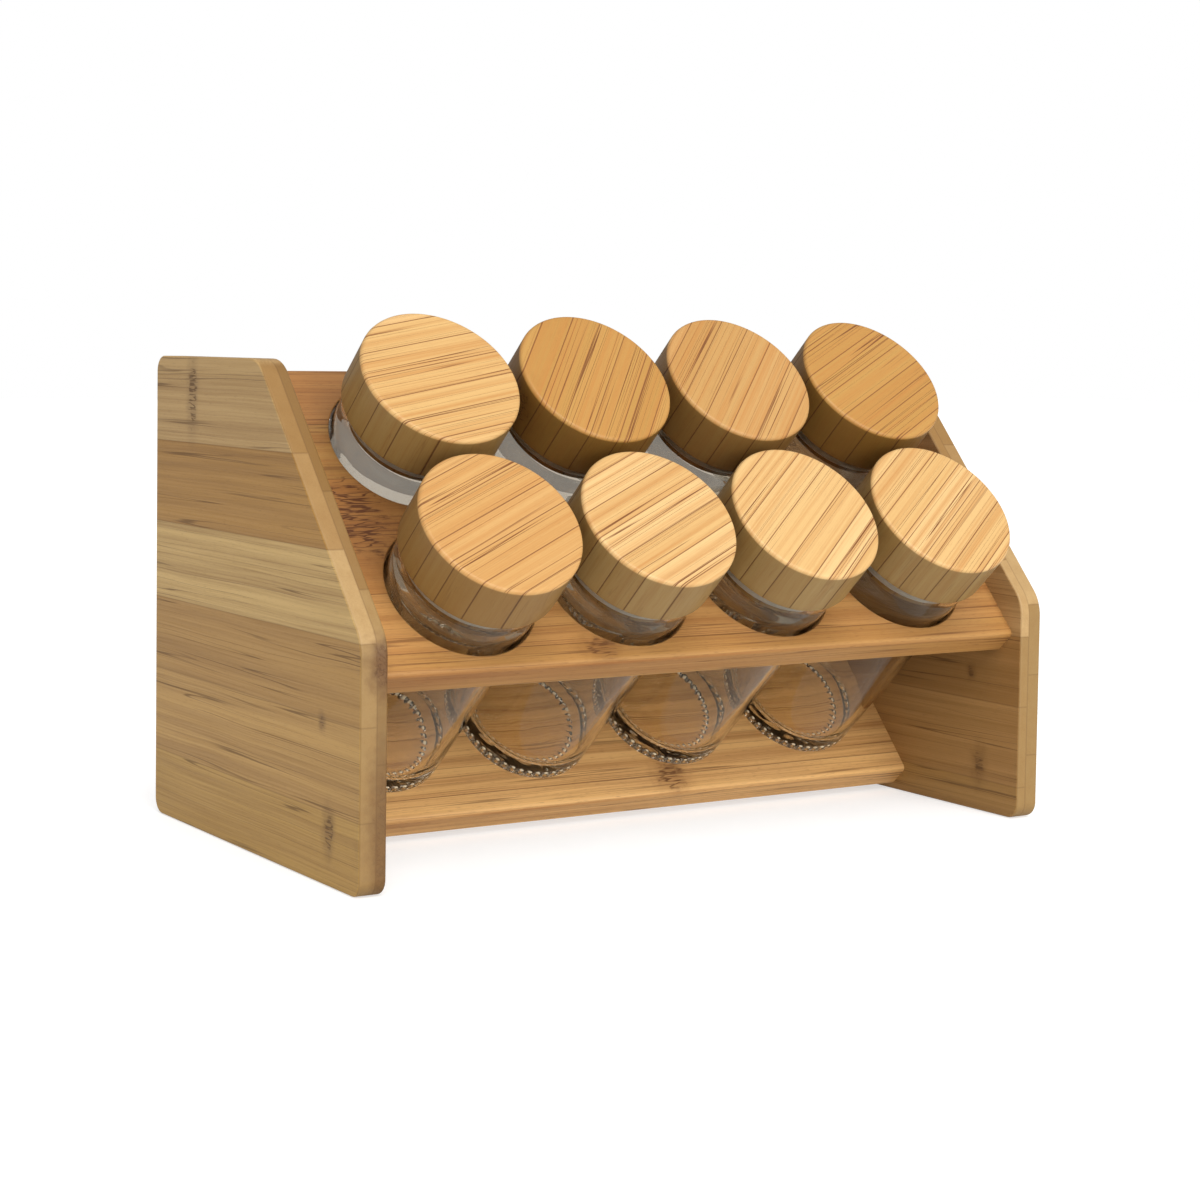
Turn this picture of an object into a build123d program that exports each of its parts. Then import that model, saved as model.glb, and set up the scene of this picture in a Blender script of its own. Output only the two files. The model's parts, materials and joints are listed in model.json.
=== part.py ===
from build123d import *
import os
from math import cos, radians, sin

# Tiered bamboo rack with eight lidded glass jars.
# Millimetres, +Z up, X along the rack, -Y is the front. The origin is on the surface the rack
# stands on, under the middle of the whole object. The rack is sized around the jars that it holds.

# Jar glass
jar_radius = 27.5
jar_height = 106.4
jar_wall = 2.6
jar_base_thickness = 6.0
jar_heel_round = 3.2
jar_floor_round = 6.0
jar_shoulder_round = 3.0
mouth_wall = 3.9
mouth_land = 9.0
mouth_flare = 4.0
mouth_edge_round = 0.5
bearing_width = 4.8
base_hollow_depth = 1.4

# Lid, its plug and its sealing ring
lid_overhang = 2.5
lid_height = 20.5
lid_top_round = 1.5
lid_bottom_round = 0.6
plug_depth = 9.0
plug_clearance = 0.7
plug_end_chamfer = 1.0
groove_depth = 1.3
groove_top = 2.5
seal_height = 4.0
seal_clearance = 0.05
seal_valley_depth = 0.8

# Where the jars stand in the rack
jar_columns = 4
jar_rows = 2
lid_gap = 4.0
row_gap = 4.5
end_gap = 12.0
jar_rise = 17.5
hole_clearance = 0.6
seat_gap = 0.05

# Boards
board_slope = 48.0
board_thickness = 10.8
front_margin = 5.9
rear_margin = 7.4
board_front_round = 2.0
board_edge_round = 0.8
hole_edge_round = 0.6
lower_board_drop = 4.4
lower_board_floor_gap = 2.3

# Side panels, as what they show beyond the boards
panel_thickness = 10.0
panel_slope_rise = 12.0
panel_front_reach = 4.7
panel_top_reach = 4.1
panel_back_reach = 8.5
panel_corner_round = 6.0
panel_slant_round = 15.0
panel_edge_round = 0.8

# Dowels between boards and panels
dowel_radius = 2.5
dowel_count = 3
dowel_inset = 10.0
dowel_in_board = 12.0
dowel_in_panel = 6.5
dowel_chamfer = 0.5
dowel_clearance = 0.05
dowel_end_clearance = 0.5

# Sizes that follow from the ones above
mouth_radius = jar_radius - mouth_wall
base_hollow_radius = jar_radius - jar_heel_round - bearing_width
lid_radius = jar_radius + lid_overhang
slope_cos = cos(radians(board_slope))
slope_sin = sin(radians(board_slope))
hole_radius = jar_radius + hole_clearance
column_pitch = 2 * lid_radius + lid_gap
row_pitch = 2 * lid_radius + row_gap
inner_length = (jar_columns - 1) * column_pitch + 2 * lid_radius + 2 * end_gap
rack_length = inner_length + 2 * panel_thickness
front_row_inset = front_margin + hole_radius
board_width = front_row_inset + (jar_rows - 1) * row_pitch + hole_radius + rear_margin
jar_depth = jar_height - jar_rise
board_spacing = jar_depth + seat_gap
plug_radius = mouth_radius - plug_clearance
groove_radius = plug_radius - groove_depth
seal_radius = mouth_radius - seal_clearance
dowel_step = (board_width - 2 * dowel_inset) / (dowel_count - 1)

# Heights and reaches of the boards, measured from the upper board's front top arris
lower_bottom = board_spacing + board_thickness
arris_height = lower_board_floor_gap + lower_board_drop * slope_sin + lower_bottom * slope_cos
lower_rear_reach = (board_width - lower_board_drop) * slope_cos + lower_bottom * slope_sin
panel_back = lower_rear_reach + panel_back_reach
lid_rim_offset = (lid_radius - lid_top_round) * slope_cos + lid_top_round
lid_crown_offset = (jar_rise + lid_height - lid_top_round) * slope_sin
front_reach = lid_rim_offset + lid_crown_offset - front_row_inset * slope_cos
arris_y = (front_reach - panel_back) / 2

# The upper board's plane: local X along the rack, local Y up the slope, local Z out of the board
upper_plane = Plane(
    origin=(0, arris_y, arris_height),
    x_dir=(1, 0, 0),
    z_dir=(0, -slope_sin, slope_cos),
)
lower_offset = Location((0, -lower_board_drop, -board_spacing))


def on_slope(shape, offset=Location()):
    """Carry a shape from the upper board's local frame into the rack's frame."""
    return upper_plane.location * offset * shape


def jar_seats():
    """Name and local base point of every jar, front row first, left to right."""
    seats = []
    for row, row_name in enumerate(("front", "back")[:jar_rows]):
        for column in range(jar_columns):
            x = (column - (jar_columns - 1) / 2) * column_pitch
            y = front_row_inset + row * row_pitch
            seats.append((f"{row_name}_{column + 1}", x, y))
    return seats


def dowel_points():
    """Distances up the slope of the dowels in one end of a board."""
    return [dowel_inset + index * dowel_step for index in range(dowel_count)]


def panel_outline():
    """Corners of a side panel in the Y-Z plane, from the back foot round over the top."""
    slant_y = arris_y - panel_slope_rise * slope_sin
    slant_z = arris_height + panel_slope_rise * slope_cos
    front = arris_y - panel_front_reach
    back = arris_y + panel_back
    top = arris_height + board_width * slope_sin + panel_top_reach
    top_front = slant_y + (top - slant_z) * slope_cos / slope_sin
    knee_height = slant_z + (front - slant_y) * slope_sin / slope_cos
    return [(back, 0), (back, top), (top_front, top), (front, knee_height), (front, 0)]


def edges_at(shape, corners):
    """The edges along X that stand on corners given as Y and Z."""
    return [
        edge
        for edge in shape.edges().filter_by(Axis.X)
        if any(abs(edge.center().Y - y) + abs(edge.center().Z - z) < 1e-6 for y, z in corners)
    ]


def cylinder_along_x(radius, low, high, y, z):
    """A cylinder from x = low to x = high."""
    middle = (low + high) / 2
    return Pos(middle, y, z) * Rot(0, 90, 0) * Cylinder(radius, high - low)


def dowel_holes(side, in_board):
    """Round holes for one end's dowels, in the local frame of a board."""
    face = side * inner_length / 2
    board_end = face - side * (dowel_in_board + dowel_end_clearance)
    panel_end = face + side * (dowel_in_panel + dowel_end_clearance)
    inward = board_end if in_board else face - side * dowel_in_board
    outward = panel_end if not in_board else face + side * dowel_in_panel
    low, high = sorted((inward, outward))
    radius = dowel_radius + dowel_clearance
    holes = [cylinder_along_x(radius, low, high, y, -board_thickness / 2) for y in dowel_points()]
    return Compound(children=holes)


def side_panel(side):
    """A five-cornered upright with eased corners and edges, drilled for the dowels."""
    inner_x = side * inner_length / 2
    back_foot, back_top, slant_top, knee, front_foot = panel_outline()
    outline = Plane.YZ * Polyline(back_foot, back_top, slant_top, knee, front_foot, close=True)
    blank = extrude(make_face(outline), amount=panel_thickness)
    blank = fillet(edges_at(blank, (back_foot, back_top, front_foot)), panel_corner_round)
    blank = fillet(edges_at(blank, (slant_top, knee)), panel_slant_round)
    rims = blank.faces().filter_by(Axis.X)
    blank = fillet(rims.edges(), panel_edge_round)
    blank = Pos(inner_x if side > 0 else inner_x - panel_thickness, 0, 0) * blank
    blank -= on_slope(dowel_holes(side, in_board=False))
    return blank - on_slope(dowel_holes(side, in_board=False), lower_offset)


def plain_board():
    """A board with a rounded nose and eased long edges, in its own local frame."""
    middle = Pos(0, board_width / 2, -board_thickness / 2)
    board = middle * Box(inner_length, board_width, board_thickness)
    long_edges = board.edges().filter_by(Axis.X)
    nose = long_edges.sort_by(Axis.Z)[-2:].sort_by(Axis.Y)[0]
    board = fillet(nose, board_front_round)
    corner_ys = (0, board_width)
    eased = [
        edge
        for edge in board.edges().filter_by(Axis.X)
        if min(abs(edge.center().Y - y) for y in corner_ys) < 1e-6
        and min(abs(edge.center().Z), abs(edge.center().Z + board_thickness)) < 1e-6
    ]
    board = fillet(eased, board_edge_round)
    for side in (-1, 1):
        board -= dowel_holes(side, in_board=True)
    return board


def upper_board():
    """The board with one round hole for each jar."""
    board = plain_board()
    middle = -board_thickness / 2
    for _, x, y in jar_seats():
        board -= Pos(x, y, middle) * Cylinder(hole_radius, 2 * board_thickness)
    rims = board.edges().filter_by(GeomType.CIRCLE)
    rims = rims.filter_by(lambda edge: abs(edge.radius - hole_radius) < 1e-6)
    return on_slope(fillet(rims, hole_edge_round))


def lower_board():
    """The plain board that the jars stand on."""
    return on_slope(plain_board(), lower_offset)


def dowels(side, offset):
    """The dowels of one board end, as separate solids."""
    face = side * inner_length / 2
    low, high = sorted((face - side * dowel_in_board, face + side * dowel_in_panel))
    pins = []
    for y in dowel_points():
        pin = cylinder_along_x(dowel_radius, low, high, y, -board_thickness / 2)
        pin = chamfer(pin.edges().filter_by(GeomType.CIRCLE), dowel_chamfer)
        pins.append(on_slope(pin, offset))
    return Compound(children=pins)


def rounded_circle(shape, radius, height, round_radius):
    """Round the circular edges of one radius at one height of a body being built."""
    circles = shape.edges().filter_by(GeomType.CIRCLE)
    circles = circles.filter_by(lambda edge: abs(edge.radius - radius) < 1e-6)
    circles = circles.filter_by(lambda edge: abs(edge.center().Z - height) < 1e-6)
    return fillet(circles, round_radius)


def jar_glass():
    """A thick-bottomed round jar with a soft shoulder, standing on its own base point."""
    inner_radius = jar_radius - jar_wall
    flare_top = jar_height - mouth_land
    hollow_middle = (base_hollow_radius / 2, base_hollow_depth * 0.75)
    with BuildPart() as jar:
        with BuildSketch(Plane.XZ):
            with BuildLine():
                ThreePointArc((0, base_hollow_depth), hollow_middle, (base_hollow_radius, 0))
                Polyline(
                    (base_hollow_radius, 0),
                    (jar_radius, 0),
                    (jar_radius, jar_height),
                    (mouth_radius, jar_height),
                    (mouth_radius, flare_top),
                    (inner_radius, flare_top - mouth_flare),
                    (inner_radius, jar_base_thickness),
                    (0, jar_base_thickness),
                    (0, base_hollow_depth),
                )
            make_face()
        revolve(axis=Axis.Z)
    rounds = (
        (jar_radius, 0, jar_heel_round),
        (jar_radius, jar_height, jar_shoulder_round),
        (mouth_radius, jar_height, mouth_edge_round),
        (inner_radius, jar_base_thickness, jar_floor_round),
    )
    glass = jar.part
    for radius, height, round_radius in rounds:
        glass = rounded_circle(glass, radius, height, round_radius)
    return glass


def lid():
    """A turned disc, standing on its own underside."""
    disc = Pos(0, 0, lid_height / 2) * Cylinder(lid_radius, lid_height)
    disc = rounded_circle(disc, lid_radius, lid_height, lid_top_round)
    return rounded_circle(disc, lid_radius, 0, lid_bottom_round)


def plug():
    """The turned plug glued under a lid, with a groove for its ring."""
    groove_low = -groove_top - seal_height
    with BuildPart() as turned:
        with BuildSketch(Plane.XZ):
            with BuildLine():
                Polyline(
                    (0, 0),
                    (plug_radius, 0),
                    (plug_radius, -groove_top),
                    (groove_radius, -groove_top),
                    (groove_radius, groove_low),
                    (plug_radius, groove_low),
                    (plug_radius, plug_end_chamfer - plug_depth),
                    (plug_radius - plug_end_chamfer, -plug_depth),
                    (0, -plug_depth),
                    (0, 0),
                )
            make_face()
        revolve(axis=Axis.Z)
    return turned.part


def seal():
    """A ring with two lips that fills the plug's groove and touches the mouth of the jar."""
    top = -groove_top
    low = top - seal_height
    middle = (top + low) / 2
    lip = seal_height / 4
    valley_radius = seal_radius - seal_valley_depth
    with BuildPart() as ring:
        with BuildSketch(Plane.XZ):
            with BuildLine():
                ThreePointArc((valley_radius, top), (seal_radius, top - lip), (valley_radius, middle))
                ThreePointArc((valley_radius, middle), (seal_radius, low + lip), (valley_radius, low))
                Polyline(
                    (valley_radius, low),
                    (groove_radius, low),
                    (groove_radius, top),
                    (valley_radius, top),
                )
            make_face()
        revolve(axis=Axis.Z)
    return ring.part


def build():
    """Every node of the rack and its jars, by name."""
    nodes = {
        "side_panel_left": side_panel(-1),
        "side_panel_right": side_panel(1),
        "upper_board": upper_board(),
        "lower_board": lower_board(),
    }
    for side, side_name in ((-1, "left"), (1, "right")):
        nodes[f"dowels_upper_{side_name}"] = dowels(side, Location())
        nodes[f"dowels_lower_{side_name}"] = dowels(side, lower_offset)
    glass, disc, turned_plug, ring = jar_glass(), lid(), plug(), seal()
    for name, x, y in jar_seats():
        base = Location((x, y, -jar_depth))
        rim = Location((x, y, jar_rise + seat_gap))
        nodes[f"jar_{name}"] = on_slope(glass, base)
        nodes[f"lid_{name}"] = on_slope(disc, rim)
        nodes[f"plug_{name}"] = on_slope(turned_plug, rim)
        nodes[f"seal_{name}"] = on_slope(ring, rim)
    return nodes


os.makedirs("parts", exist_ok=True)
for node_name, node_shape in build().items():
    export_step(node_shape, f"parts/{node_name}.step")
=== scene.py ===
"""Looks of a tiered bamboo rack with eight lidded glass jars.

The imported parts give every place: the rack's boards and panels keep their own meshes and are
dressed in laminated bamboo, and the jars and lids are turned again here as finer surfaces.
Lengths are metres. On a sloping board three directions are used: along the rack (X), up the
slope, and out of the board, which is also the way in which the jars' axes point.
"""

from __future__ import annotations

import json
import logging
import math
from dataclasses import dataclass
from enum import Enum
from typing import Sequence, Union

import bpy
import numpy as np
from mathutils import Matrix, Vector

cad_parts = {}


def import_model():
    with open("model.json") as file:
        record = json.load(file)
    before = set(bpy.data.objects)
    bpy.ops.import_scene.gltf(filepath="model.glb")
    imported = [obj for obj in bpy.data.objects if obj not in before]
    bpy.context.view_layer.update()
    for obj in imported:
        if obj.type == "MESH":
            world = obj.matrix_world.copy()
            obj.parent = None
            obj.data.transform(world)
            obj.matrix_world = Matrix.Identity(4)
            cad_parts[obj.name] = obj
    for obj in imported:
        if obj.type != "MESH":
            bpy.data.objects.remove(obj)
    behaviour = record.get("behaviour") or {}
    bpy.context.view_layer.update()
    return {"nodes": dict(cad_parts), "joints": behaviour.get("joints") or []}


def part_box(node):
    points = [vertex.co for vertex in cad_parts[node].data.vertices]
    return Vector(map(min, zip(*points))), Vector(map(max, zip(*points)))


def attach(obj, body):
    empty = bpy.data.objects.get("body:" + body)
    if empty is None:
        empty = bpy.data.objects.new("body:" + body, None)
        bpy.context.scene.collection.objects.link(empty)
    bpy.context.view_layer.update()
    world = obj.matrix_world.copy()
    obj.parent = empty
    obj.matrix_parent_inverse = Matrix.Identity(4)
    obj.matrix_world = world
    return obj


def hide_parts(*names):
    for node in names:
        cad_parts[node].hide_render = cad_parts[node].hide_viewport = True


LOG = logging.getLogger("jar_rack")
SLACK = 1e-6

Array = np.ndarray
Point = tuple[float, float]
Triple = tuple[float, float, float]
Rgba = tuple[float, float, float, float]
Socket = bpy.types.NodeSocket
Operand = Union[float, Sequence[float], Socket]

ZERO: Triple = (0.0, 0.0, 0.0)
WHITE: Rgba = (1.0, 1.0, 1.0, 1.0)


def shades(*colours: tuple[int, int, int]) -> tuple[Rgba, ...]:
    """Turn display colours of 0 to 255 into linear colours with an alpha of 1.

    Args:
        *colours: Red, green and blue of each.

    Returns:
        The linear colours.
    """
    shares = np.array(colours) / 255.0
    light = np.where(shares <= 0.04045, shares / 12.92, ((shares + 0.055) / 1.055) ** 2.4)
    return tuple((*map(float, row), 1.0) for row in light)


def link(name: str, data: bpy.types.ID) -> bpy.types.Object:
    """Put a mesh, light or camera into the scene.

    Args:
        name: The object's name.
        data: What it shows.

    Returns:
        The object.
    """
    made = bpy.data.objects.new(name, data)
    bpy.context.scene.collection.objects.link(made)
    return made


class Graph:
    """A short way to write shader nodes into one node tree."""

    def __init__(self, tree: bpy.types.NodeTree) -> None:
        """Keep the tree that the nodes go into."""
        self.tree = tree

    def node(self, kind: str, *values: Operand, **settings: object) -> bpy.types.Node:
        """Add one node.

        Args:
            kind: The node's Blender type name.
            *values: Its inputs in order.
            **settings: Properties to set on it.

        Returns:
            The new node.
        """
        made = self.tree.nodes.new(kind)
        for name, value in settings.items():
            setattr(made, name, value)
        for socket, value in zip(made.inputs, values):
            self.feed(socket, value)
        return made

    def feed(self, socket: Socket, value: Operand) -> None:
        """Link a socket to an input, or set the input's own value.

        Args:
            socket: The input.
            value: An output socket, a number, or a vector or colour.
        """
        if isinstance(value, bpy.types.NodeSocket):
            self.tree.links.new(value, socket)
        else:
            socket.default_value = value

    def fill(self, node: bpy.types.Node, **values: Operand) -> bpy.types.NodeOutputs:
        """Feed a node's inputs by name.

        Args:
            node: The node.
            **values: Its inputs, with underscores for the spaces in their names.

        Returns:
            The node's outputs.
        """
        for label, value in values.items():
            self.feed(node.inputs[label.replace("_", " ")], value)
        return node.outputs

    def math(self, operation: str, *values: Operand, clamp: bool = False) -> Socket:
        """Add a Math node, held between 0 and 1 where clamp says so."""
        return self.node("ShaderNodeMath", *values, operation=operation, use_clamp=clamp).outputs[0]

    def vector(self, operation: str, *values: Operand) -> Socket:
        """Add a Vector Math node that gives a vector."""
        return self.node("ShaderNodeVectorMath", *values, operation=operation).outputs["Vector"]

    def gap(self, first: Operand, second: Operand) -> Socket:
        """Give how far two numbers lie apart."""
        return self.math("ABSOLUTE", self.math("SUBTRACT", first, second))

    def combine(self, *values: Operand) -> Socket:
        """Join three numbers into a vector."""
        return self.node("ShaderNodeCombineXYZ", *values).outputs[0]

    def separate(self, vector: Socket) -> tuple[Socket, ...]:
        """Split a vector into its three numbers."""
        return tuple(self.node("ShaderNodeSeparateXYZ", vector).outputs)

    def place(self) -> Socket:
        """Give the object's own coordinates."""
        return self.node("ShaderNodeTexCoord").outputs["Object"]

    def noise(
        self, place: Socket, scale: Triple, detail: float = 2.0, distortion: float = 0.0
    ) -> Socket:
        """Add noise, mostly from 0.3 to 0.7.

        Args:
            place: Where it is read.
            scale: How fine it is in each direction.
            detail: Number of octaves.
            distortion: How far the pattern is pushed about.

        Returns:
            Its value.
        """
        made = self.node("ShaderNodeTexNoise")
        spot = self.vector("MULTIPLY", place, scale)
        self.fill(made, Vector=spot, Scale=1.0, Detail=detail, Distortion=distortion)
        return made.outputs["Fac"]

    def ease(self, value: Operand, low: Operand, high: Operand) -> Socket:
        """Rise smoothly from 0 at low to 1 at high."""
        made = self.node("ShaderNodeMapRange", interpolation_type="SMOOTHSTEP")
        return self.fill(made, Value=value, From_Min=low, From_Max=high)["Result"]

    def fall(self, value: Operand, low: Operand, high: Operand) -> Socket:
        """Fall smoothly from 1 at low to 0 at high."""
        return self.math("SUBTRACT", 1.0, self.ease(value, low, high))

    def mix(self, factor: Operand, first: Operand, second: Operand, blend: str = "MIX") -> Socket:
        """Mix two colours.

        Args:
            factor: Share of the second colour.
            first: First colour.
            second: Second colour.
            blend: The blend mode.

        Returns:
            The mixed colour.
        """
        made = self.node("ShaderNodeMix", data_type="RGBA", blend_type=blend)
        colours = [socket for socket in made.inputs if socket.type == "RGBA"]
        self.feed(made.inputs["Factor"], factor)
        self.feed(colours[0], first)
        self.feed(colours[1], second)
        return next(socket for socket in made.outputs if socket.type == "RGBA")

    def bump(self, height: Socket, distance: float, strength: float = 1.0) -> Socket:
        """Turn a height into a normal."""
        made = self.node("ShaderNodeBump")
        return self.fill(made, Strength=strength, Distance=distance, Height=height)["Normal"]

    def rays(self) -> tuple[Socket, Socket]:
        """Tell from where a surface is looked at.

        Returns:
            1 for a look straight from the eye, and 1 for one off gloss or through glass.
        """
        path = self.node("ShaderNodeLightPath").outputs
        bent = self.math("MAXIMUM", path["Is Glossy Ray"], path["Is Transmission Ray"])
        return path["Is Camera Ray"], bent


def begin(name: str) -> tuple[bpy.types.Material, Graph, bpy.types.Node]:
    """Start a material.

    Args:
        name: Its name.

    Returns:
        The material, its graph and its main shader.
    """
    material = bpy.data.materials.new(name)
    material.use_nodes = True
    return material, Graph(material.node_tree), material.node_tree.nodes["Principled BSDF"]


class SocketKind(Enum):
    """Kinds of socket that a shader node group uses."""

    NUMBER = "NodeSocketFloat"
    VECTOR = "NodeSocketVector"
    COLOUR = "NodeSocketColor"


class Effect:
    """A shader node group with named inputs and outputs."""

    def __init__(
        self, name: str, inputs: dict[str, SocketKind], outputs: dict[str, SocketKind]
    ) -> None:
        """Make an empty group.

        Args:
            name: The group's name.
            inputs: Name and kind of each input.
            outputs: Name and kind of each output.
        """
        self.group = bpy.data.node_groups.new(name, "ShaderNodeTree")
        for way, sockets in (("INPUT", inputs), ("OUTPUT", outputs)):
            for label, kind in sockets.items():
                self.group.interface.new_socket(name=label, in_out=way, socket_type=kind.value)
        self.graph = Graph(self.group)
        self.given = self.graph.node("NodeGroupInput").outputs
        self.result = self.graph.node("NodeGroupOutput")

    def place(self, graph: Graph, **values: Operand) -> bpy.types.NodeOutputs:
        """Put the group into a tree, with its inputs named as for Graph.fill."""
        return graph.fill(graph.node("ShaderNodeGroup", node_tree=self.group), **values)


class BambooEffects:
    """The groups that every bamboo finish shares: grain, even strips and knuckle marks."""

    def __init__(self) -> None:
        """Build the three groups."""
        self.grain = self._grain()
        self.strips = self._strips()
        self.knuckle = self._knuckle()

    @staticmethod
    def _grain() -> Effect:
        """Fibres, fine lines and pores of bamboo, long in x and short in y and z.

        Broad and fine noise shade the wood. A line shows where a slow noise crosses one half,
        and another noise breaks it up. Pores are the peaks of the finest noise. Lines and
        streaks fade on end grain, and the whole sways a little across the fibres.

        Returns:
            A group that gives a colour, a roughness and a height in tenths of a millimetre.
        """
        number, colour = SocketKind.NUMBER, SocketKind.COLOUR
        inputs = {"Vector": SocketKind.VECTOR}
        inputs |= dict.fromkeys(("Tint", "Deep", "Line Colour"), colour)
        inputs |= dict.fromkeys(("Streaks", "Lines", "Pores", "Seam", "Knuckle", "Ends"), number)
        outputs = {"Colour": colour, "Roughness": number, "Height": number}
        effect = Effect("bamboo_grain", inputs, outputs)
        graph, given = effect.graph, effect.given
        wander = graph.noise(given["Vector"], (11.0, 45.0, 45.0))
        sway = graph.math("MULTIPLY", graph.math("SUBTRACT", wander, 0.5), 0.0022)
        place = graph.vector("ADD", given["Vector"], graph.combine(0.0, sway, 0.0))
        broad = graph.noise(place, (3.5, 240.0, 240.0), 3.0)
        fine = graph.noise(place, (14.0, 1500.0, 1500.0), 3.0)
        contour = graph.noise(place, (3.0, 300.0, 300.0), 1.0)
        breaks = graph.noise(place, (12.0, 180.0, 180.0), 1.0)
        specks = graph.noise(place, (230.0, 3600.0, 3600.0), 1.0)
        lengthwise = graph.math("SUBTRACT", 1.0, given["Ends"], clamp=True)
        line = graph.fall(graph.gap(contour, 0.5), 0.003, 0.017)
        line = graph.math("MULTIPLY", line, graph.ease(breaks, 0.34, 0.56))
        line = graph.math("MULTIPLY", line, graph.math("MULTIPLY", given["Lines"], lengthwise))
        pore = graph.math("MULTIPLY", graph.ease(specks, 0.6, 0.72), given["Pores"])
        finer = graph.math("MULTIPLY", graph.math("SUBTRACT", fine, 0.5), 1.3)
        shade = graph.math("MULTIPLY", graph.math("SUBTRACT", broad, 0.5), 2.4)
        shade = graph.math("ADD", shade, finer)
        streaks = graph.math("MULTIPLY_ADD", lengthwise, 0.7, 0.3)
        streaks = graph.math("MULTIPLY", streaks, given["Streaks"])
        shade = graph.math("MULTIPLY_ADD", shade, streaks, 0.24, clamp=True)
        tinted = graph.mix(shade, given["Tint"], given["Deep"])
        marks = graph.math("MAXIMUM", graph.math("MAXIMUM", line, pore), given["Seam"])
        marks = graph.math("MAXIMUM", marks, given["Knuckle"], clamp=True)
        rough = graph.math("MULTIPLY_ADD", fine, 0.3, 0.3)
        graph.fill(
            effect.result,
            Colour=graph.mix(marks, tinted, given["Line Colour"]),
            Roughness=graph.math("MULTIPLY_ADD", marks, 0.18, rough),
            Height=graph.math("MULTIPLY_ADD", fine, 0.35, graph.math("MULTIPLY", marks, -0.8)),
        )
        return effect

    @staticmethod
    def _strips() -> Effect:
        """Even strips across y: strip number is the floor of y over the width.

        Returns:
            A group that gives the place moved so that no two strips share a grain, a tone of
            0 to 1 for each strip, and the thin glue seam between strips.
        """
        vector, number = SocketKind.VECTOR, SocketKind.NUMBER
        effect = Effect(
            "bamboo_strips",
            {"Vector": vector, "Width": number, "Seam Width": number},
            {"Vector": vector, "Tone": number, "Seam": number},
        )
        graph, given = effect.graph, effect.given
        _, across, _ = graph.separate(given["Vector"])
        share = graph.math("DIVIDE", across, given["Width"])
        index = graph.math("FLOOR", share)
        centred = graph.gap(graph.math("SUBTRACT", share, index), 0.5)
        to_edge = graph.math("MULTIPLY", graph.math("SUBTRACT", 0.5, centred), given["Width"])
        chance = graph.node("ShaderNodeTexWhiteNoise", noise_dimensions="1D")
        graph.fill(chance, W=graph.math("ADD", index, 0.37))
        shift = graph.vector("MULTIPLY", chance.outputs["Color"], (3.1, 2.3, 1.7))
        graph.fill(
            effect.result,
            Vector=graph.vector("ADD", given["Vector"], shift),
            Tone=chance.outputs["Value"],
            Seam=graph.fall(to_edge, 0.0, given["Seam Width"]),
        )
        return effect

    @staticmethod
    def _knuckle() -> Effect:
        """The swirl where a bamboo culm had a joint: broken short arcs inside an oval patch.

        Returns:
            A group that gives the dark arcs, and the softer brown halo round them.
        """
        vector, number = SocketKind.VECTOR, SocketKind.NUMBER
        effect = Effect(
            "bamboo_knuckle",
            {"Vector": vector, "Centre": vector, "Half Size": vector},
            {"Arcs": number, "Halo": number},
        )
        graph, given = effect.graph, effect.given
        local = graph.vector("SUBTRACT", given["Vector"], given["Centre"])
        ragged = graph.noise(given["Vector"], (260.0, 260.0, 260.0), 3.0)
        reach = graph.vector("DIVIDE", local, given["Half Size"])
        radius = graph.node("ShaderNodeVectorMath", reach, operation="LENGTH").outputs["Value"]
        edge = graph.math("MULTIPLY_ADD", ragged, 1.2, radius)
        swirl = graph.noise(local, (75.0, 520.0, 520.0), 1.5, 0.6)
        arcs = graph.fall(graph.gap(swirl, 0.5), 0.015, 0.06)
        graph.fill(
            effect.result,
            Arcs=graph.math("MULTIPLY", arcs, graph.fall(edge, 1.1, 1.6)),
            Halo=graph.fall(edge, 0.9, 2.4),
        )
        return effect


class End(Enum):
    """The two ends of the rack."""

    LEFT = "left"
    RIGHT = "right"


@dataclass(frozen=True)
class Knuckle:
    """One knuckle mark.

    Attributes:
        centre: Along the grain, across the strips and through the thickness.
        half: Half its size in the same three directions.
        depth: How dark its arcs are, 0 to 1.
        halo: How brown the wood round the arcs is, 0 to 1.
    """

    centre: Triple
    half: Triple
    depth: float = 0.85
    halo: float = 0.5


@dataclass(frozen=True)
class Placing:
    """Turns object places into grain places: x along the grain, y across, z through.

    Attributes:
        origin: The point that becomes zero.
        turn: Euler angles in radians of the grain's own axes.
    """

    origin: Triple
    turn: Triple

    def read(self, graph: Graph, what: str, origin: Triple) -> Socket:
        """Read the piece's Object places or its Normal in the grain's own axes.

        Args:
            graph: The material's tree.
            what: Name of the coordinate output.
            origin: The point that becomes zero.

        Returns:
            The turned vector.
        """
        found = graph.node("ShaderNodeTexCoord").outputs[what]
        mapping = graph.node("ShaderNodeMapping", vector_type="TEXTURE")
        return graph.fill(mapping, Vector=found, Location=origin, Rotation=self.turn)["Vector"]

    def node(self, graph: Graph) -> Socket:
        """Give the grain place."""
        return self.read(graph, "Object", self.origin)

    def ends(self, graph: Graph) -> Socket:
        """Give 1 where the surface faces along the grain, which is end grain, and else 0."""
        along, _, _ = graph.separate(self.read(graph, "Normal", ZERO))
        return graph.ease(graph.math("ABSOLUTE", along), 0.3, 0.6)


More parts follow.
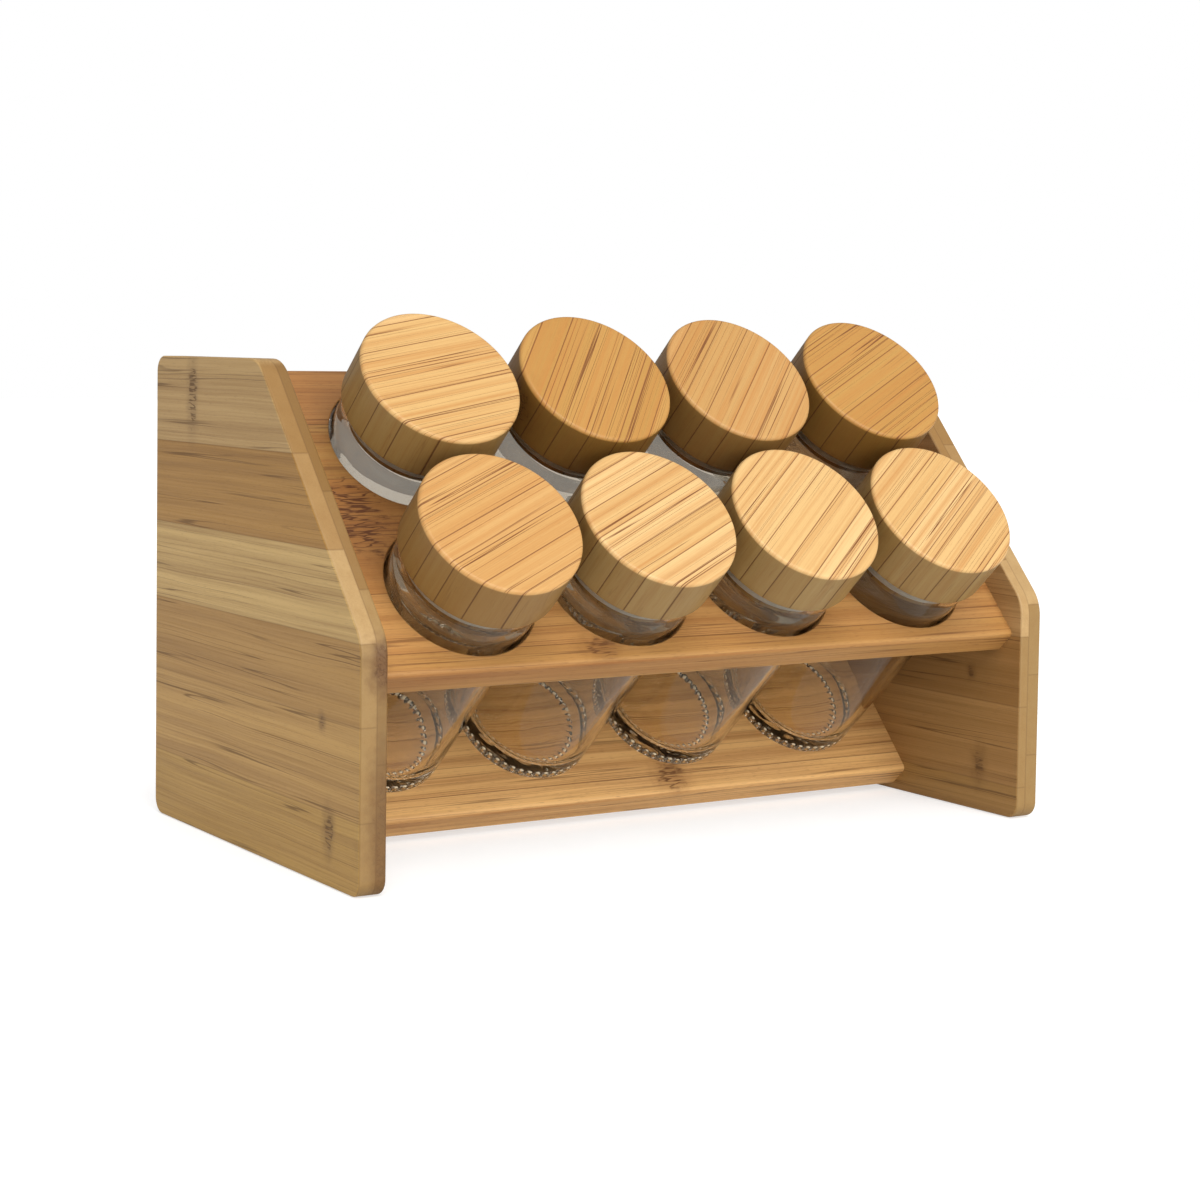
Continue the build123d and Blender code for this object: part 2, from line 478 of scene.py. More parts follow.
@dataclass(frozen=True)
class Bamboo:
    """Laminated bamboo under a thin satin lacquer.

    Attributes:
        name: The material's name.
        tints: Tint of each strip, from the lowest y upwards.
        deep: Colour of the darker fibres.
        line_colour: Colour of fine lines, seams and knuckle arcs.
        placing: Where the grain lies in the piece, or None to read the piece's own "grain".
        edges: Where one strip ends and the next starts, one fewer than the tints.
        streaks: Strength of the broad and fine fibres.
        lines: Strength of the fine dark lines.
        pores: Strength of the pores.
        strip_width: Width of even strips, used where edges is empty.
        seam: Strength of the glue seams.
        seam_width: Width of a glue seam.
        weave: How much finer the fibres are along, across and through the grain.
        edge_tints: Tint of each strip where its end grain shows, or none.
        inner_painted_shade: Painted shade on the inner ply's faces, as a share of the outer ply's
            colour.
        edge_shade: The inner ply's own tone where its end grain shows, as a share of the outer
            one's.
        flank_painted_shade: Painted shade on the side of a turned piece: the share of its colour
            that the side keeps, or None.
        flank_height: Height at which that side ends.
        flank_ease: Height over which it fades out.
        ply: Place through the thickness of a glue line between two plies, or None.
        ply_faces: End of the rack at which the outer ply lies.
        ply_shift: How far the inner ply's strips and fibres are moved from the outer one's.
        knuckles: The knuckle marks.
        halo_colour: Colour round the knuckle marks.
        bump: Depth of the grain.
    """

    name: str
    tints: tuple[Rgba, ...]
    deep: Rgba
    line_colour: Rgba
    placing: Placing | None = None
    edges: tuple[float, ...] = ()
    streaks: float = 0.8
    lines: float = 0.5
    pores: float = 0.25
    strip_width: float = 0.01
    seam: float = 0.75
    seam_width: float = 0.0003
    weave: Triple = (1.0, 1.0, 1.0)
    edge_tints: tuple[Rgba, ...] = ()
    inner_painted_shade: Rgba = WHITE
    edge_shade: Rgba = WHITE
    flank_painted_shade: Rgba | None = None
    flank_height: float = 0.0
    flank_ease: float = 0.0007
    ply: float | None = None
    ply_faces: End | None = None
    ply_shift: Triple = (0.37, 0.0125, 0.2)
    knuckles: tuple[Knuckle, ...] = ()
    halo_colour: Rgba = (0.2, 0.085, 0.02, 1.0)
    bump: float = 0.00012

    def _plies(self, graph: Graph, place: Socket) -> tuple[Socket, Socket, Socket]:
        """Two plies glued face to face: past the glue line the strips and fibres are moved.

        Args:
            graph: The material's tree.
            place: The grain place.

        Returns:
            The moved place, the glue line, and 1 on the inner ply.
        """
        _, _, through = graph.separate(place)
        past = graph.math("GREATER_THAN", through, self.ply)
        if self.ply_faces is End.RIGHT:
            past = graph.math("SUBTRACT", 1.0, past)
        moved = graph.vector("ADD", place, graph.vector("MULTIPLY", self.ply_shift, past))
        return moved, graph.fall(graph.gap(through, self.ply), 0.0, self.seam_width), past

    @staticmethod
    def _ramp(graph: Graph, share: Socket, tints: tuple[Rgba, ...]) -> Socket:
        """Pick one of several tints by a number from 0 to 1.

        Args:
            graph: The material's tree.
            share: The number.
            tints: The tints, each of which holds for an equal part.

        Returns:
            The tint.
        """
        ramp = graph.node("ShaderNodeValToRGB", share)
        ramp.color_ramp.interpolation = "CONSTANT"
        stops = ramp.color_ramp.elements
        while len(stops) < len(tints):
            stops.new(0.5)
        for number, tint in enumerate(tints):
            stops[number].position = number / len(tints)
            stops[number].color = tint
        return ramp.outputs["Color"]

    def _uneven(self, graph: Graph, place: Socket, ends: Operand) -> tuple[Socket, Socket, Socket]:
        """Strips whose edges are given: the strip number is the count of edges passed.

        Args:
            graph: The material's tree.
            place: The grain place.
            ends: 1 where end grain shows.

        Returns:
            The shifted place, the strip's tint and the seam.
        """
        _, across, _ = graph.separate(place)
        passed: Operand = 0.0
        nearest: Operand = 1.0
        for edge in self.edges:
            passed = graph.math("ADD", graph.math("GREATER_THAN", across, edge), passed)
            nearest = graph.math("MINIMUM", graph.gap(across, edge), nearest)
        share = graph.math("DIVIDE", graph.math("ADD", passed, 0.5), float(len(self.tints)))
        tint = self._ramp(graph, share, self.tints)
        if self.edge_tints:
            tint = graph.mix(ends, tint, self._ramp(graph, share, self.edge_tints))
        along, through = (graph.math("MULTIPLY", passed, step) for step in (1.7, 0.9))
        moved = graph.vector("ADD", place, graph.combine(along, 0.0, through))
        return moved, tint, graph.fall(nearest, 0.0, self.seam_width)

    def _even(
        self, graph: Graph, effects: BambooEffects, place: Socket
    ) -> tuple[Socket, Socket, Socket]:
        """Strips of one width, each with a tint between the first and the last.

        Args:
            graph: The material's tree.
            effects: The shared groups.
            place: The grain place.

        Returns:
            The shifted place, the strip's tint and the seam.
        """
        sizes = {"Width": self.strip_width, "Seam_Width": self.seam_width}
        strips = effects.strips.place(graph, Vector=place, **sizes)
        tint = graph.mix(strips["Tone"], self.tints[0], self.tints[-1])
        return strips["Vector"], tint, strips["Seam"]

    def make(self, effects: BambooEffects) -> bpy.types.Material:
        """Build the material.

        Args:
            effects: The shared groups.

        Returns:
            The material.
        """
        material, graph, shader = begin(self.name)
        ends: Operand = 0.0
        if self.placing is None:
            own = graph.node("ShaderNodeAttribute", attribute_name="grain")
            place = own.outputs["Vector"]
        else:
            place, ends = self.placing.node(graph), self.placing.ends(graph)
        layered, glued, inner = place, 0.0, 0.0
        if self.ply is not None:
            layered, glued, inner = self._plies(graph, place)
        if self.edges:
            shifted, tint, seam = self._uneven(graph, layered, ends)
        else:
            shifted, tint, seam = self._even(graph, effects, layered)
        seam = graph.math("MAXIMUM", seam, glued)
        # On the inner ply the tint is darkened: by painted shade on its faces, and by the ply's own
        # darker tone where its end grain shows.
        if self.ply is not None:
            shade = graph.mix(ends, self.inner_painted_shade, self.edge_shade)
            tint = graph.mix(inner, tint, graph.mix(1.0, tint, shade, "MULTIPLY"))
        arcs: Operand = 0.0
        for mark in self.knuckles:
            spot = {"Centre": mark.centre, "Half_Size": mark.half}
            made = effects.knuckle.place(graph, Vector=place, **spot)
            arcs = graph.math("MULTIPLY_ADD", made["Arcs"], mark.depth, arcs)
            halo = graph.math("MULTIPLY", made["Halo"], mark.halo)
            tint = graph.mix(halo, tint, self.halo_colour)
        # side is 1 on a lid's turned side: there the streaks and lines fade, and the colour takes
        # painted shade.
        side: Operand = 0.0
        if self.flank_painted_shade is not None:
            _, _, height = graph.separate(place)
            side = graph.ease(height, self.flank_height, self.flank_height - self.flank_ease)
        grain = effects.grain.place(
            graph,
            Vector=graph.vector("MULTIPLY", shifted, self.weave),
            Tint=tint,
            Deep=self.deep,
            Line_Colour=self.line_colour,
            Streaks=graph.math("MULTIPLY_ADD", side, -0.5 * self.streaks, self.streaks),
            Lines=graph.math("MULTIPLY_ADD", side, -0.8 * self.lines, self.lines),
            Pores=self.pores,
            Seam=graph.math("MULTIPLY", seam, self.seam),
            Knuckle=arcs,
            Ends=ends,
        )
        colour = grain["Colour"]
        # Painted shade: the turned side is darkened by the flank share.
        if self.flank_painted_shade is not None:
            colour = graph.mix(side, colour, graph.mix(1.0, colour, self.flank_painted_shade, "MULTIPLY"))
        graph.fill(
            shader,
            Base_Color=colour,
            Roughness=grain["Roughness"],
            Normal=graph.bump(grain["Height"], self.bump, 0.6),
            Specular_IOR_Level=0.35,
            Coat_Weight=0.08,
            Coat_Roughness=0.28,
        )
        return material


@dataclass(frozen=True)
class Glass:
    """Clear moulded glass, slightly warm and a little uneven.

    Attributes:
        name: The material's name.
        colour: Tint of the glass.
        sheen: Tint of what it mirrors.
        index: Refractive index.
        ripple: Depth of the moulding ripples.
    """

    name: str = "moulded_glass"
    colour: Rgba = (0.9, 0.86, 0.79, 1.0)
    sheen: Rgba = (0.92, 0.82, 0.68, 1.0)
    index: float = 1.5
    ripple: float = 0.00006

    def make(self) -> bpy.types.Material:
        """Build the material, which lets light through to what stands behind it.

        Returns:
            The material.
        """
        material, graph, shader = begin(self.name)
        place = graph.place()
        smear = graph.noise(place, (90.0, 90.0, 90.0), 3.0, 0.6)
        waves = graph.noise(place, (120.0, 120.0, 120.0), 2.0, 0.8)
        graph.fill(
            shader,
            Base_Color=self.colour,
            Transmission_Weight=1.0,
            Metallic=0.0,
            IOR=self.index,
            Specular_Tint=self.sheen,
            Roughness=graph.math("MULTIPLY", smear, 0.05),
            Normal=graph.bump(waves, self.ripple, 0.35),
        )
        shadow = graph.node("ShaderNodeLightPath").outputs["Is Shadow Ray"]
        clear = graph.node("ShaderNodeBsdfTransparent", WHITE).outputs["BSDF"]
        blend = graph.node("ShaderNodeMixShader", shadow, shader.outputs["BSDF"], clear)
        graph.fill(material.node_tree.nodes["Material Output"], Surface=blend.outputs[0])
        return material


@dataclass(frozen=True)
class Mottled:
    """A plain material of two close colours in a fine mottle.

    Attributes:
        name: The material's name.
        colour: Its main colour.
        patches: Colour of its patches.
        fineness: Patches a metre.
        detail: Octaves of the mottle.
        rough: How much roughness the mottle adds, and the roughness that it adds to.
        bump: Depth of the mottle, or 0 for none.
        depth: How far light goes in, or 0 for not at all.
    """

    name: str
    colour: Rgba
    patches: Rgba
    fineness: float
    detail: float
    rough: Point
    bump: float = 0.0
    depth: float = 0.0

    def make(self) -> bpy.types.Material:
        """Build the material.

        Returns:
            The material.
        """
        material, graph, shader = begin(self.name)
        mottle = graph.noise(graph.place(), (self.fineness,) * 3, self.detail)
        colour = graph.mix(mottle, self.colour, self.patches)
        rough = graph.math("MULTIPLY_ADD", mottle, *self.rough)
        graph.fill(shader, Base_Color=colour, Roughness=rough)
        if self.bump:
            graph.fill(shader, Normal=graph.bump(mottle, self.bump))
        if self.depth:
            graph.fill(shader, Subsurface_Weight=0.2, Subsurface_Radius=(self.depth,) * 3)
        return material


# The pips of the moulded foot's stipple, in a bright cream that is painted glint.
PIP_GLINTS = Mottled(
    "pip_painted_glints", (1.0, 0.93, 0.76, 1.0), (0.8, 0.7, 0.52, 1.0), 2200.0, 2.0, (0.4, 0.2)
)
SILICONE = Mottled(
    name="milky_silicone",
    colour=(0.74, 0.74, 0.71, 1.0),
    patches=(0.62, 0.62, 0.6, 1.0),
    fineness=400.0,
    detail=4.0,
    rough=(0.3, 0.35),
    bump=0.00004,
    depth=0.002,
)


@dataclass(frozen=True)
class Paper:
    """The matt pale sheet that the rack stands on.

    Attributes:
        name: The material's name.
        colour: Colour of the sheet.
        shade: Colour of its slightly darker fibres.
        mirrored: Colour that it shows in gloss and through glass.
        glow: Light that it gives of itself to the eye, as a sheet lit from below does.
        spill: Light that it gives to what stands on it.
        dimmed: Share of that light that gloss and glass don't show.
    """

    name: str = "pale_paper"
    colour: Rgba = (0.6, 0.6, 0.6, 1.0)
    shade: Rgba = (0.56, 0.56, 0.56, 1.0)
    mirrored: Rgba = (0.5, 0.485, 0.465, 1.0)
    glow: float = 0.56
    spill: float = 0.2
    dimmed: float = 0.5

    def make(self) -> bpy.types.Material:
        """Build the material.

        Returns:
            The material.
        """
        material, graph, shader = begin(self.name)
        fibres = graph.noise(graph.place(), (60.0, 60.0, 60.0), 4.0)
        seen, bent = graph.rays()
        sheet = graph.mix(fibres, self.colour, self.shade)
        glow = graph.math("MULTIPLY_ADD", seen, self.glow - self.spill, self.spill)
        kept = graph.math("MULTIPLY_ADD", bent, -self.dimmed, 1.0)
        graph.fill(
            shader,
            Base_Color=graph.mix(bent, sheet, self.mirrored),
            Roughness=0.9,
            Emission_Color=WHITE,
            Emission_Strength=graph.math("MULTIPLY", glow, kept),
        )
        return material


def arc(centre: Point, radius: float, start: float, end: float, count: int) -> Array:
    """Points of a circle in the radius-height plane: centre plus radius times cosine and sine.

    Args:
        centre: Radius and height of the arc's centre.
        radius: Radius of the arc.
        start: First angle in degrees, 0 pointing away from the axis and 90 up.
        end: Last angle in degrees.
        count: Number of points.

    Returns:
        An array of shape (count, 2).
    """
    angles = np.radians(np.linspace(start, end, count))
    return np.stack([centre[0] + radius * np.cos(angles), centre[1] + radius * np.sin(angles)], 1)


def run(first: Point, last: Point, count: int) -> Array:
    """Points evenly spaced on a straight line: first plus a share of last minus first."""
    shares = np.linspace(0.0, 1.0, count)[:, None]
    return np.array(first) * (1 - shares) + np.array(last) * shares


def profile_of(*stretches: Array) -> Array:
    """Join stretches of a profile, and drop points that repeat the one before them.

    Args:
        *stretches: Arrays of radius and height.

    Returns:
        One array of radius and height.
    """
    points = np.concatenate(stretches)
    steps = np.linalg.norm(np.diff(points, axis=0), axis=1)
    return points[np.concatenate([[True], steps > 1e-7])]


@dataclass(frozen=True)
class Seat:
    """Where one turned piece stands: its base point and the three directions it is built on.

    Attributes:
        base: The point on the axis at height 0.
        along: Unit vector along the rack.
        up_slope: Unit vector up the slope.
        axis: Unit vector of the piece's axis.
    """

    base: Array
    along: Array
    up_slope: Array
    axis: Array

    def place(self, local: Array) -> Array:
        """Carry points (along the rack, up the slope, along the axis) into the shared frame."""
        return self.base + local @ np.stack([self.along, self.up_slope, self.axis])

    @staticmethod
    def under(node: str, profile: Array, axis: Array) -> Seat:
        """Find the seat of a turned node from its box.

        Along a direction d the node reaches its base's own d plus the largest of radius times
        the part of d square to the axis and height times the part of d along the axis. So the
        box's highest y and z, less those reaches, give the base.

        Args:
            node: The node's name.
            profile: Radius and height of its outline.
            axis: Unit vector of its axis.

        Returns:
            The seat.
        """
        low, high = (np.array(corner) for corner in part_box(node))
        square = np.sqrt(1.0 - axis**2)
        reach = (profile[:, :1] * square + profile[:, 1:] * axis).max(axis=0)
        base = high - reach
        base[0] = (low[0] + high[0]) / 2
        along = np.array([1.0, 0.0, 0.0])
        return Seat(base, along, np.cross(axis, along), axis)


class Mesher:
    """Puts computed surfaces into Blender meshes."""

    @staticmethod
    def faces(rows: int, columns: int) -> tuple[Array, Array]:
        """Close a stack of rings: each ring joins the next, and each end ring joins a pole.

        Args:
            rows: Number of rings, lowest first.
            columns: Points in a ring. The poles' points follow the last ring.

        Returns:
            The four-sided faces and the three-sided ones.
        """
        index = np.arange(rows * columns).reshape(rows, columns)
        onward = np.roll(index, -1, axis=1)
        quads = np.stack([index[:-1], onward[:-1], onward[1:], index[1:]], -1).reshape(-1, 4)
        start = np.full(columns, rows * columns)
        low = np.stack([start, onward[0], index[0]], 1)
        return quads, np.concatenate([low, np.stack([start + 1, index[-1], onward[-1]], 1)])

    @staticmethod
    def turned(
        name: str, profile: Array, seat: Seat, segments: int, ripple: Array | None = None
    ) -> bpy.types.Object:
        """A closed surface of revolution.

        Each point of the profile is carried round the axis: along is radius times cosine, up the
        slope is radius times sine, and height stays. Both ends of the profile lie on the axis,
        where the ring shrinks to one point. The ripple adds to radius and height first.

        Args:
            name: Name of the piece.
            profile: Radius and height, from the underside's middle out, up and back to the axis.
            seat: Where the piece stands.
            segments: Number of steps round the axis.
            ripple: Added radius and height, of shape (len(profile) - 2, segments, 2), or None.

        Returns:
            The object, which keeps its own local places as its "grain".
        """
        body = np.repeat(profile[1:-1, None, :], segments, axis=1)
        if ripple is not None:
            body = body + ripple
        angles = np.linspace(0.0, 2 * np.pi, segments, endpoint=False)
        radius, height = body[..., 0], body[..., 1]
        rings = np.stack([radius * np.cos(angles), radius * np.sin(angles), height], axis=-1)
        poles = np.array([[0.0, 0.0, profile[0, 1]], [0.0, 0.0, profile[-1, 1]]])
        local = np.concatenate([rings.reshape(-1, 3), poles])
        quads, caps = Mesher.faces(len(profile) - 2, segments)
        mesh = bpy.data.meshes.new(name)
        mesh.from_pydata(seat.place(local).tolist(), [], quads.tolist() + caps.tolist())
        mesh.validate()
        mesh.shade_smooth()
        mesh.set_sharp_from_angle(angle=math.radians(32))
        store = mesh.attributes.new("grain", "FLOAT_VECTOR", "POINT")
        store.data.foreach_set("vector", local.astype(np.float32).ravel())
        return link(name, mesh)

    @staticmethod
    def regrain(piece: bpy.types.Object, turn: float, shift: Array) -> None:
        """Turn a piece's grain about its axis and move it, so that no two pieces look alike.

        Args:
            piece: A turned piece, whose "grain" still holds its own local places.
            turn: Angle in radians from the rack's length to the grain.
            shift: Added to every place.
        """
        store = piece.data.attributes["grain"]
        places = np.empty(len(store.data) * 3, dtype=np.float32)
        store.data.foreach_get("vector", places)
        across, up, height = places.reshape(-1, 3).T
        cosine, sine = math.cos(turn), math.sin(turn)
        turned = np.stack([across * cosine + up * sine, -across * sine + up * cosine, height], 1)
        store.data.foreach_set("vector", (turned + shift).astype(np.float32).ravel())


@dataclass
class Jar:
    """One moulded glass jar, in metres from the middle of its foot.

    Attributes:
        node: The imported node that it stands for, and the body that it moves with.
        seed: Picks the jar's own waviness.
        radius: Outer radius.
        height: Height of the rim.
        wall: Thickness of the wall.
        base: Thickness of the foot.
        heel_round: Round between the foot and the wall.
        floor_round: Round between the floor and the inner wall.
        shoulder_round: Round between the wall and the rim.
        mouth: Radius of the mouth.
        mouth_land: Depth of the straight mouth.
        mouth_flare: Height over which the mouth widens to the inner wall.
        mouth_edge: Round at the mouth's edge.
        hollow: Radius of the hollow under the foot.
        hollow_depth: Its depth.
        knurls: Number of moulded pips round the foot.
        knurl_depth: How deep the foot is cut for the pips.
        knurl_spread: Half the width of the cut ring.
        ring_inset: Distance from the hollow's edge to the ring of pips.
        pip: Half the width of a pip.
        pip_lift: Height of a pip's middle.
        swell: Unevenness of the inner wall.
        floor_swell: Unevenness of the floor.
        mark_depth: Depth of the mould's mark in the floor.
        mark_radius: Radius at which the mark is strongest.
        mark_spread: How far it reaches in and out from there.
    """

    node: str
    seed: int
    radius: float = 0.0275
    height: float = 0.1064
    wall: float = 0.0026
    base: float = 0.006
    heel_round: float = 0.0032
    floor_round: float = 0.006
    shoulder_round: float = 0.003
    mouth: float = 0.0236
    mouth_land: float = 0.009
    mouth_flare: float = 0.004
    mouth_edge: float = 0.0005
    hollow: float = 0.0195
    hollow_depth: float = 0.0014
    knurls: int = 44
    knurl_depth: float = 0.0018
    knurl_spread: float = 0.0011
    ring_inset: float = 0.0012
    pip: float = 0.00075
    pip_lift: float = 0.0014
    swell: float = 0.00016
    floor_swell: float = 0.00035
    mark_depth: float = 0.00022
    mark_radius: float = 0.0065
    mark_spread: float = 0.0045

    def profile(self) -> Array:
        """Radius and height from the hollow round the outside, over the rim and down to the floor.

        Returns:
            An array of shape (n, 2).
        """
        sag = (self.hollow**2 + self.hollow_depth**2) / (2 * self.hollow_depth)
        hollow_radii = np.linspace(0.0, self.hollow, 16)
        hollow_heights = np.sqrt(sag**2 - hollow_radii**2) - (sag - self.hollow_depth)
        radius, top, inner = self.radius, self.height, self.radius - self.wall
        heel, shoulder = radius - self.heel_round, radius - self.shoulder_round
        low, high = self.heel_round, top - self.shoulder_round
        lip_low, floor_high = top - self.mouth_edge, self.base + self.floor_round
        flare_top = top - self.mouth_land
        flare_low = flare_top - self.mouth_flare
        lip, floor = self.mouth + self.mouth_edge, inner - self.floor_round
        return profile_of(
            np.stack([hollow_radii, np.maximum(hollow_heights, 0.0)], axis=1),
            run((self.hollow, 0.0), (heel, 0.0), 9),
            arc((heel, low), self.heel_round, -90, 0, 9),
            run((radius, low), (radius, high), 22),
            arc((shoulder, high), self.shoulder_round, 0, 90, 9),
            run((shoulder, top), (lip, top), 3),
            arc((lip, lip_low), self.mouth_edge, 90, 180, 4),
            run((self.mouth, lip_low), (self.mouth, flare_top), 5),
            run((self.mouth, flare_top), (inner, flare_low), 5),
            run((inner, flare_low), (inner, floor_high), 22),
            arc((floor, floor_high), self.floor_round, 0, -90, 10),
            run((floor, self.base), (0.0, self.base), 16),
        )

    def ripple(self, profile: Array, segments: int) -> Array:
        """Moulding unevenness, all of it inside the smooth outline.

        The foot is cut up between pips that stand evenly round it: the cut is its depth times a
        bell over the foot's width times a rounded wave round the axis. The inner wall leans in
        and out by a few hundredths of a millimetre in slow waves round and along the jar. The
        floor rises and falls in slow waves too, and in shorter ones, the mould's mark, inside a
        bell round a third of its radius.

        Args:
            profile: The profile that is carried round.
            segments: Number of steps round the axis.

        Returns:
            Added radius and height for every point but the two on the axis.
        """
        radius, height = profile[1:-1, 0][:, None], profile[1:-1, 1][:, None]
        angles = np.linspace(0.0, 2 * np.pi, segments, endpoint=False)[None, :]
        phases = np.random.default_rng(self.seed).uniform(0, 2 * np.pi, 6)
        off_ring = (radius - (self.hollow + self.ring_inset)) / self.knurl_spread
        between = (0.5 - 0.5 * np.cos(self.knurls * angles)) ** 0.8
        lift = self.knurl_depth * (np.exp(-(off_ring**2)) * (height < 0.0009)) * between
        inner = self.radius - self.wall
        inside = (radius > 0.5 * inner) & (radius < inner + SLACK) & (height > self.base - SLACK)
        under_mouth = self.height - self.mouth_land - self.mouth_flare - height
        depth = np.clip(under_mouth / 0.01, 0, 1) * inside
        waves = (
            0.5 * np.sin(2 * angles + phases[0] + 70 * height)
            + 0.35 * np.sin(3 * angles + phases[1] - 110 * height)
            + 0.25 * np.sin(5 * angles + phases[2] + 190 * height)
        )
        floor = (height > self.base - SLACK) & (height < self.base + 0.0005)
        floor = floor & (radius <= inner - self.floor_round + SLACK)
        slow = np.sin(2 * angles + phases[3]) * np.sin(190 * radius + phases[4])
        rise = self.floor_swell * floor * (0.6 + slow) * np.clip(radius / 0.006, 0, 1)
        mark = np.sin(3 * angles + phases[5] + 260 * radius) * np.sin(720 * radius + phases[4])
        bell = np.exp(-(((radius - self.mark_radius) / self.mark_spread) ** 2))
        rise += self.mark_depth * floor * mark * bell
        return np.stack([-self.swell * depth * (1.1 + waves), lift + rise], axis=-1)

    def stipple(self, seat: Seat) -> bpy.types.Object:
        """The ring of small pips in the cuts under the foot, coloured bright cream as painted
        glints.

        One pip is an egg: its own directions times cosine and sine of two angles. Copies of it
        stand evenly round the foot, each a little larger or smaller than the next.

        Args:
            seat: Where the jar stands.

        Returns:
            The pips as one piece.
        """
        rows, columns = 4, 8
        around = np.linspace(0, 2 * np.pi, columns, endpoint=False)
        turn, dip = np.meshgrid(around, np.linspace(np.pi, 0, rows + 2)[1:-1])
        shell = np.stack([np.sin(dip) * np.cos(turn), np.sin(dip) * np.sin(turn), np.cos(dip)], -1)
        egg = np.concatenate([shell.reshape(-1, 3), [[0, 0, -1.0], [0, 0, 1.0]]])
        angles = (np.arange(self.knurls) + 0.5) * 2 * np.pi / self.knurls
        sizes = np.random.default_rng(self.seed + 50).uniform(0.75, 1.15, (self.knurls, 1, 1))
        pips = egg[None] * np.array([self.pip, self.pip, self.pip * 0.55]) * sizes
        ring = np.stack([np.cos(angles), np.sin(angles), 0 * angles], 1)
        local = pips + (ring * (self.hollow + self.ring_inset))[:, None] + [0, 0, self.pip_lift]
        step = len(egg) * np.arange(self.knurls)[:, None, None]
        quads, caps = ((part + step) for part in Mesher.faces(rows, columns))
        mesh = bpy.data.meshes.new(f"stipple_{self.node}")
        faces = quads.reshape(-1, 4).tolist() + caps.reshape(-1, 3).tolist()
        mesh.from_pydata(seat.place(local.reshape(-1, 3)).tolist(), [], faces)
        mesh.shade_smooth()
        return link(mesh.name, mesh)

    def build(
        self, axis: Array, glass: bpy.types.Material, pip_glints: bpy.types.Material
    ) -> tuple[bpy.types.Object, bpy.types.Object]:
        """Build and dress the jar.

        Args:
            axis: The direction in which the jar lifts out.
            glass: Its material.
            pip_glints: The material of the pips under its foot, whose bright cream is painted
                glint.

        Returns:
            The jar, and the pips under its foot.
        """
        profile = self.profile()
        seat = Seat.under(self.node, profile, axis)
        segments = self.knurls * 6
        ripple = self.ripple(profile, segments)
        jar = Mesher.turned(f"glass_{self.node}", profile, seat, segments, ripple)
        pips = self.stipple(seat)
        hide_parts(self.node)
        for piece, material in ((jar, glass), (pips, pip_glints)):
            piece.data.materials.append(material)
            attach(piece, self.node)
        return jar, pips


@dataclass
class Lid:
    """One turned bamboo lid with its plug, in metres from the middle of the disc's underside.

    Attributes:
        node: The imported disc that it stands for, and the body that it moves with.
        plug_node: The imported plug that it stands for.
        turn: Angle in degrees from the rack's length to the lid's grain.
        shift: Moves the lid along the common grain, so that it is cut from its own place.
        radius: Radius of the disc.
        height: Height of the disc.
        top_round: Round of its upper edge.
        low_round: Round of its lower edge.
        plug: Radius of the plug.
        plug_depth: Depth of the plug.
        plug_chamfer: Chamfer at its end.
        groove: Radius of the groove's floor.
        groove_top: Depth at which the groove starts.
        groove_height: Height of the groove.
    """

    node: str
    plug_node: str
    turn: float
    shift: Triple
    radius: float = 0.03
    height: float = 0.0205
    top_round: float = 0.0015
    low_round: float = 0.0006
    plug: float = 0.0229
    plug_depth: float = 0.009
    plug_chamfer: float = 0.001
    groove: float = 0.0216
    groove_top: float = 0.0025
    groove_height: float = 0.004

    def profile(self) -> Array:
        """Radius and height from the plug's end round its groove, over the disc to its middle.

        Returns:
            An array of shape (n, 2).
        """
        end, plug, groove = -self.plug_depth, self.plug, self.groove
        groove_low, groove_high = -self.groove_top - self.groove_height, -self.groove_top
        edge, low_edge = self.radius - self.top_round, self.radius - self.low_round
        corners = (
            (0.0, end),
            (plug - self.plug_chamfer, end),
            (plug, self.plug_chamfer - self.plug_depth),
            (plug, groove_low),
            (groove, groove_low),
            (groove, groove_high),
            (plug, groove_high),
            (plug, 0.0),
            (low_edge, 0.0),
        )
        counts = (8, 3, 3, 3, 4, 3, 3, 5)
        high = self.height - self.top_round
        return profile_of(
            *(run(*stretch) for stretch in zip(corners, corners[1:], counts)),
            arc((low_edge, self.low_round), self.low_round, -90, 0, 5),
            run((self.radius, self.low_round), (self.radius, high), 10),
            arc((edge, high), self.top_round, 0, 90, 9),
            run((edge, self.height), (0.0, self.height), 18),
        )

    def build(self, axis: Array, bamboo: bpy.types.Material) -> bpy.types.Object:
        """Build and dress the lid.

        Args:
            axis: The direction in which the lid pulls out.
            bamboo: Its material.

        Returns:
            The lid.
        """
        profile = self.profile()
        seat = Seat.under(self.node, profile[profile[:, 1] >= 0.0], axis)
        lid = Mesher.turned(f"bamboo_{self.node}", profile, seat, 192)
        Mesher.regrain(lid, math.radians(self.turn), np.array(self.shift))
        lid.data.materials.append(bamboo)
        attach(lid, self.node)
        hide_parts(self.node, self.plug_node)
        return lid


